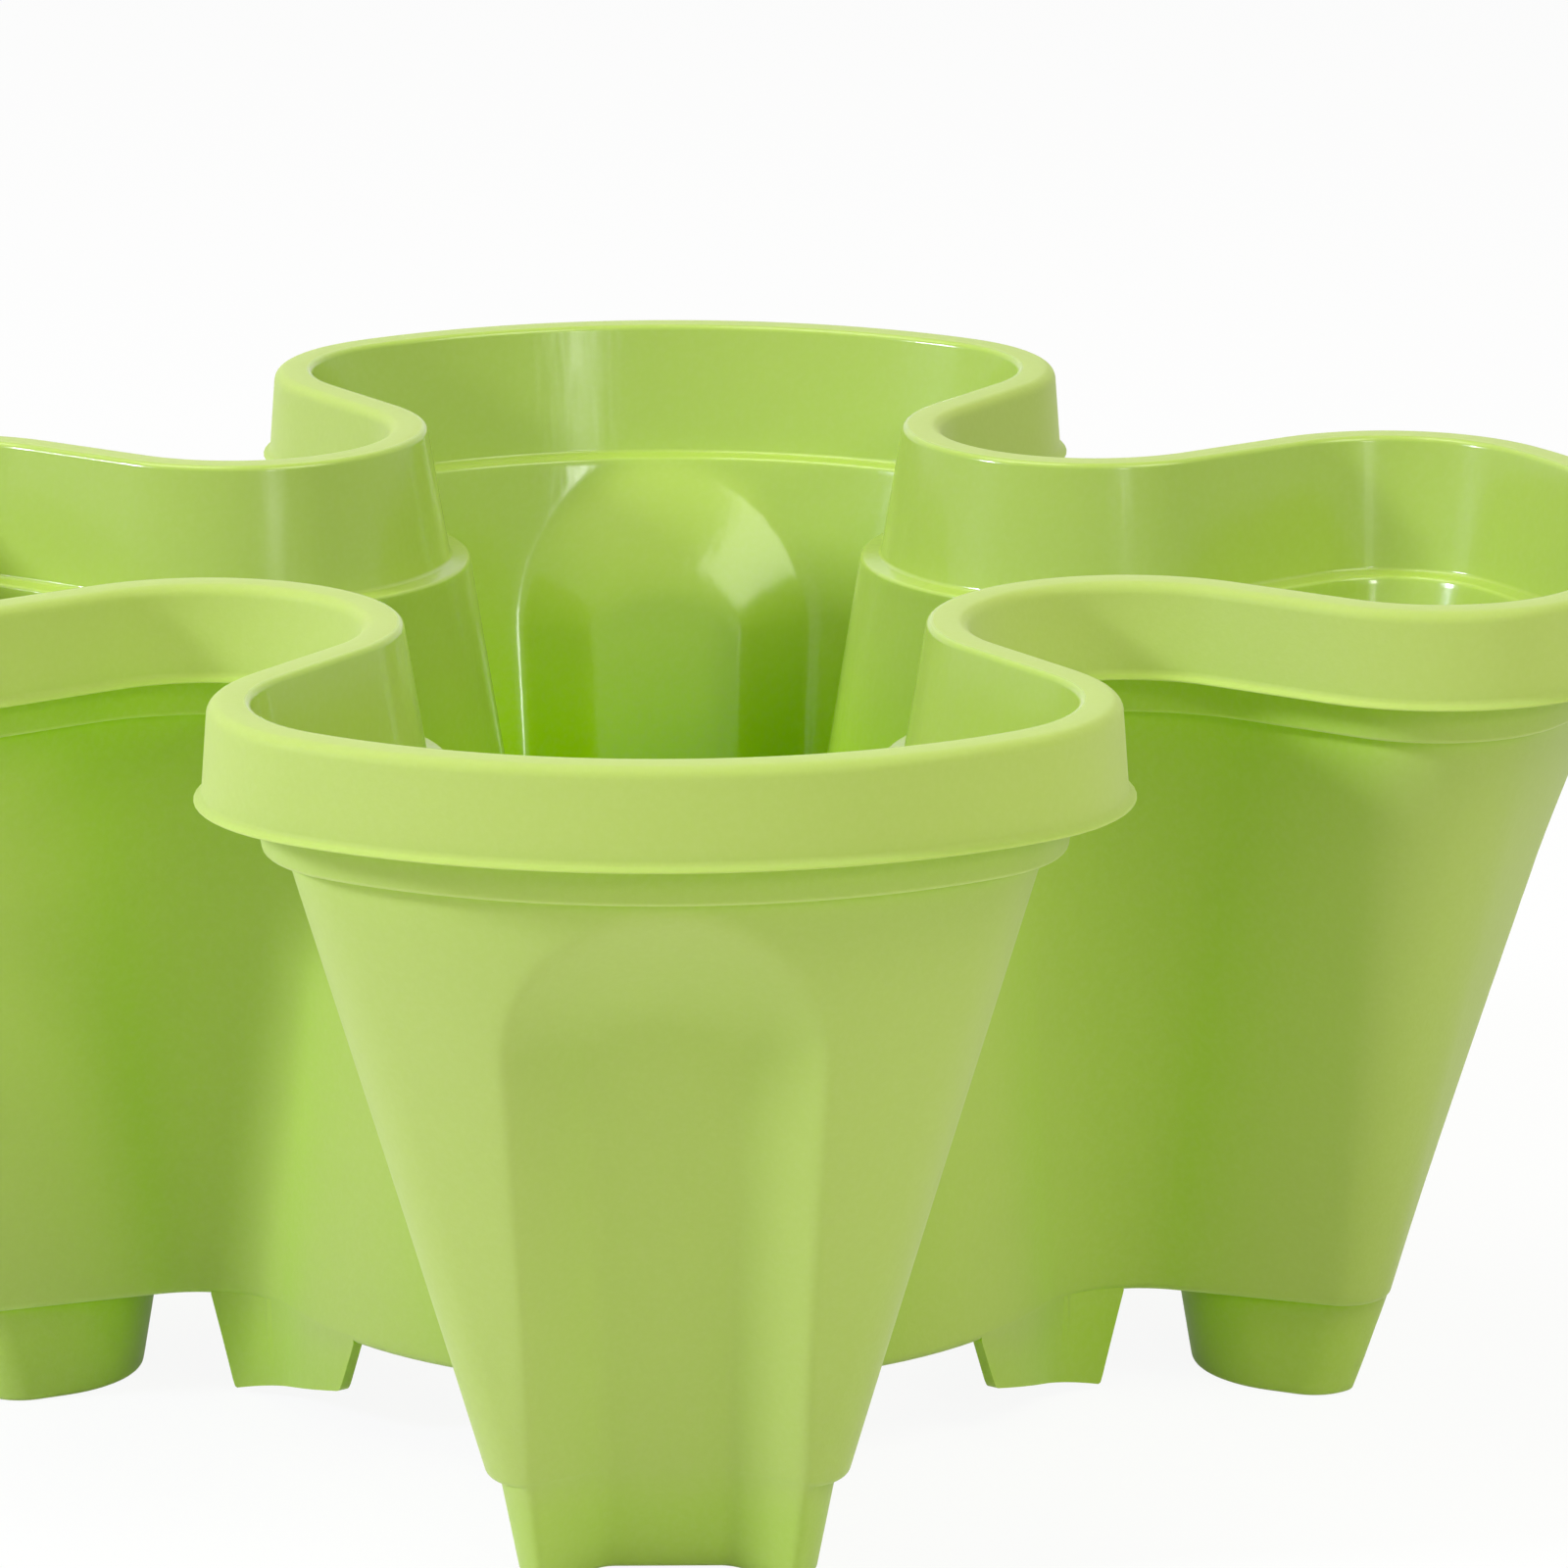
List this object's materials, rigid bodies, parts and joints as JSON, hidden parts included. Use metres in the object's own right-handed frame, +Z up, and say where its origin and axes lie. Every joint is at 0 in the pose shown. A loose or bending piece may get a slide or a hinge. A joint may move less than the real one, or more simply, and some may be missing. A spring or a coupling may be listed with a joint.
{
  "type": "stacking planter tier",
  "caption": "Lobed stacking planter tier with a downturned rim, fluted lobes on hollow feet, locating lugs and a lift-out drain grid.",
  "frame": {"origin": "middle of the tub on the ground plane that its feet stand on", "axes": "+Z up; +X and +Y each along the middle of a lobe, with the locating lugs beside the lobes on the X axis"},
  "size_m": [0.3416, 0.3416, 0.146],
  "materials": {
    "lime_plastic": "finely textured outside, glossy inside"
  },
  "bodies": {
    "tub": {"planter_tier": "lime_plastic"},
    "grid": {"drain_grid": "lime_plastic"}
  },
  "joints": [
    {"name": "grid_lift", "type": "slide", "parent": "tub", "child": "grid", "axis": [0, 0, 1], "range_m": [0, 0.16]}
  ]
}
